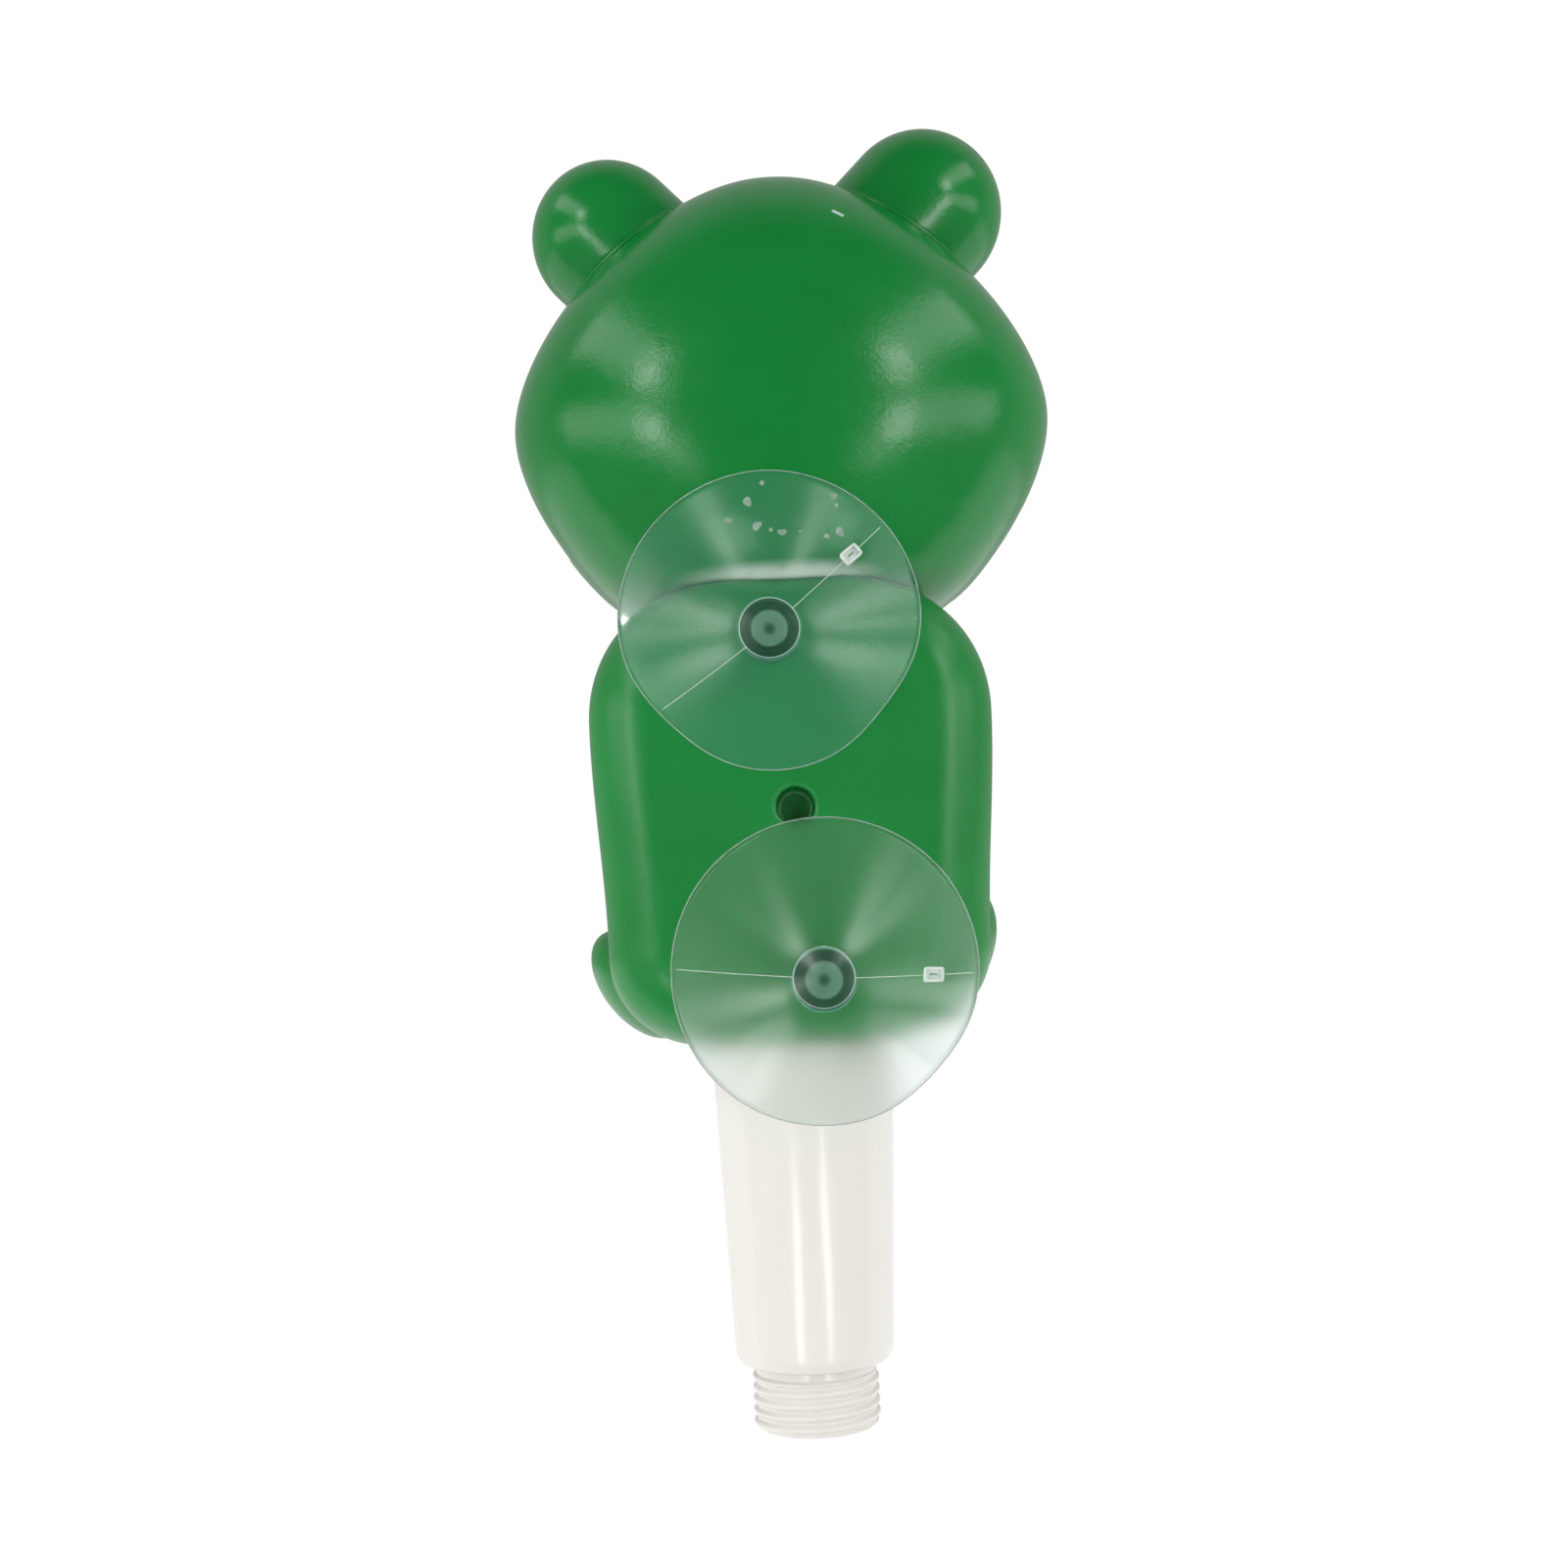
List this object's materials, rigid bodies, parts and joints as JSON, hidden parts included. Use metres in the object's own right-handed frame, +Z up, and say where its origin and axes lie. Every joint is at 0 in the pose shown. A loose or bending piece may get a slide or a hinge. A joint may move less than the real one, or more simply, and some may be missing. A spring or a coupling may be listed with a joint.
{
  "type": "shower head bath toy",
  "caption": "Frog-shaped toy shower head with a soft body, a tapered grip with a hose thread, a spray face in the belly and clear swivelling suction cups on its flat back.",
  "frame": {"origin": "on the wall's face, midway between the axes of the two suction cups", "axes": "+Y into the wall, along the cups' axes; +Z up along the handle, from the hose thread to the head; the frog looks along -Y"},
  "size_m": [0.0928, 0.085, 0.2208],
  "materials": {
    "vinyl_green": "semi-gloss soft vinyl with a fine orange-peel skin",
    "plastic_white": "smooth semi-gloss warm white",
    "plastic_inner": "plain moulded light grey",
    "cup_clear": "clear soft PVC, slightly hazy",
    "rubber_seal": "black moulded rubber",
    "nozzle_rubber": "soft grey rubber",
    "steel": "plain stainless steel"
  },
  "bodies": {
    "frog": {"torso_skin": "vinyl_green", "head_skin": "vinyl_green", "eye_right": "vinyl_green", "eye_left": "vinyl_green", "handle": "plastic_white", "handle_screw_right": "steel", "handle_screw_left": "steel", "water_pipe": "plastic_inner", "pipe_ring_lower": "rubber_seal", "pipe_ring_upper": "rubber_seal", "inlet_filter": "plastic_inner", "flow_restrictor": "plastic_inner", "restrictor_ring": "rubber_seal", "spray_chamber": "plastic_inner", "spray_face": "plastic_white", "face_seal": "rubber_seal", "nozzle_mat": "nozzle_rubber", "face_screw": "steel", "screw_seal": "rubber_seal", "screw_cap": "plastic_white", "bezel_ring": "plastic_white"},
    "lower_cup": {"suction_cup_lower": "cup_clear"},
    "upper_cup": {"suction_cup_upper": "cup_clear"}
  },
  "joints": [
    {"name": "lower_cup_swivel", "type": "hinge", "parent": "frog", "child": "lower_cup", "pos_m": [-0.00303, -0.014, -0.027], "axis": [0, 1, 0], "continuous": true},
    {"name": "upper_cup_swivel", "type": "hinge", "parent": "frog", "child": "upper_cup", "pos_m": [0.00303, -0.014, 0.027], "axis": [0, 1, 0], "continuous": true}
  ]
}
